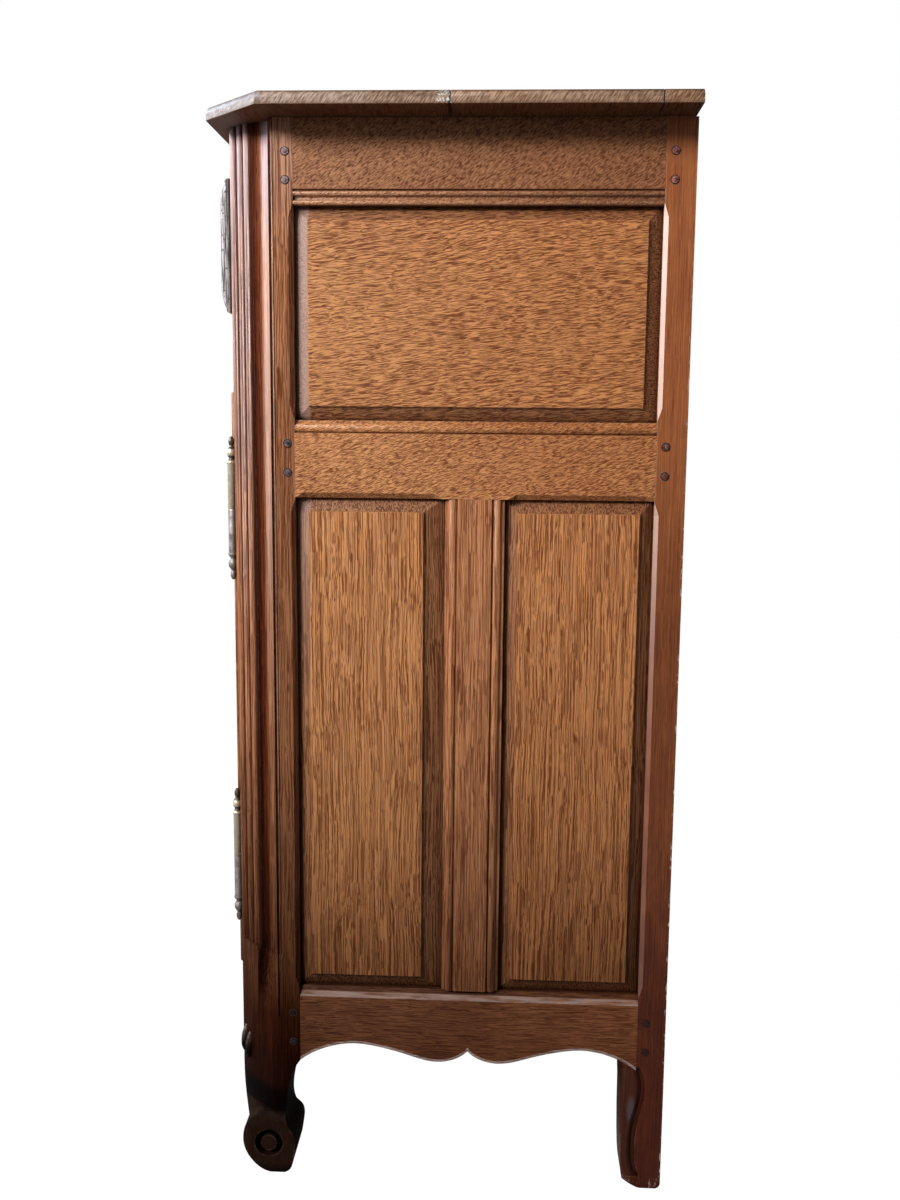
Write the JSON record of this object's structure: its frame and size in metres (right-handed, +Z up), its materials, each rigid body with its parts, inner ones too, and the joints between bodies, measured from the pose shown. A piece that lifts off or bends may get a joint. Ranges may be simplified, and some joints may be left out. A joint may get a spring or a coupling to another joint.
{
  "type": "jelly cupboard",
  "caption": "Oak jelly cupboard with framed, panelled sides, reeded canted posts, scroll feet, a drawer over a hinged panelled door, and shelves inside.",
  "frame": {"origin": "on the floor at the middle of the overall box", "axes": "+Z up, -Y towards the front with the door, +X towards the hinge side"},
  "size_m": [0.91, 0.5726, 1.3],
  "materials": {
    "frame_oak": "waxed",
    "panel_oak": "waxed",
    "top_oak": "worn wax",
    "inside_oak": "bare",
    "peg_oak": "waxed",
    "aged_brass": "aged",
    "dark_iron": "dull"
  },
  "bodies": {
    "carcass": {"front_post_right": "frame_oak", "front_post_left": "frame_oak", "back_post_right": "frame_oak", "back_post_left": "frame_oak", "side_top_rail_right": "frame_oak", "side_top_rail_left": "frame_oak", "side_middle_rail_right": "frame_oak", "side_middle_rail_left": "frame_oak", "side_apron_right": "frame_oak", "side_apron_left": "frame_oak", "side_muntin_right": "frame_oak", "side_muntin_left": "frame_oak", "front_top_rail": "frame_oak", "front_middle_rail": "frame_oak", "front_apron": "frame_oak", "side_upper_panel_right": "panel_oak", "side_upper_panel_left": "panel_oak", "side_front_panel_right": "panel_oak", "side_front_panel_left": "panel_oak", "side_back_panel_right": "panel_oak", "side_back_panel_left": "panel_oak", "back_top_rail": "inside_oak", "back_bottom_rail": "inside_oak", "back_boards": "inside_oak", "bottom_boards": "inside_oak", "lower_shelf": "inside_oak", "upper_shelf": "inside_oak", "shelf_cleats": "inside_oak", "drawer_runners": "inside_oak", "drawer_kickers": "inside_oak", "top_front_board": "top_oak", "top_middle_board": "top_oak", "top_back_board": "top_oak", "side_pegs": "peg_oak", "front_pegs": "peg_oak", "back_pegs": "peg_oak", "hinge_frame_leaf_upper": "dark_iron", "hinge_frame_leaf_lower": "dark_iron", "lock_keep": "dark_iron"},
    "door": {"door_hinge_stile": "frame_oak", "door_lock_stile": "frame_oak", "door_top_rail": "frame_oak", "door_bottom_rail": "frame_oak", "door_panel": "panel_oak", "door_pegs": "peg_oak", "hinge_door_leaf_upper": "aged_brass", "hinge_door_leaf_lower": "aged_brass", "lock_case": "dark_iron", "escutcheon": "aged_brass"},
    "drawer": {"drawer_front": "frame_oak", "drawer_side_right": "inside_oak", "drawer_side_left": "inside_oak", "drawer_back": "inside_oak", "drawer_bottom": "inside_oak", "pull_plates": "aged_brass"},
    "bail_right": {"pull_bail_right": "aged_brass"},
    "bail_left": {"pull_bail_left": "aged_brass"},
    "key": {"key": "dark_iron"},
    "bolt": {"lock_bolt": "dark_iron"}
  },
  "joints": [
    {"name": "drawer_slide", "type": "slide", "parent": "carcass", "child": "drawer", "axis": [0, -1, 0], "range_m": [0, 0.33]},
    {"name": "door_hinge", "type": "hinge", "parent": "carcass", "child": "door", "pos_m": [0.331, -0.25605, 0.3975], "axis": [0, 0, 1], "range_deg": [0, 165]},
    {"name": "bail_right_swing", "type": "hinge", "parent": "drawer", "child": "bail_right", "pos_m": [0.165, -0.27535, 1.1505], "axis": [-1, 0, 0], "range_deg": [0, 95]},
    {"name": "bail_left_swing", "type": "hinge", "parent": "drawer", "child": "bail_left", "pos_m": [-0.165, -0.27535, 1.1505], "axis": [-1, 0, 0], "range_deg": [0, 95]},
    {"name": "key_turn", "type": "hinge", "parent": "door", "child": "key", "pos_m": [-0.275, -0.25725, 0.6165], "axis": [0, 1, 0], "range_deg": [0, 90]},
    {"name": "bolt_slide", "type": "slide", "parent": "door", "child": "bolt", "axis": [-1, 0, 0], "range_m": [0, 0.0102]}
  ],
  "couplings": [
    {"joint": "bolt_slide", "follows": "key_turn", "m_per_rad": 0.0063662}
  ]
}
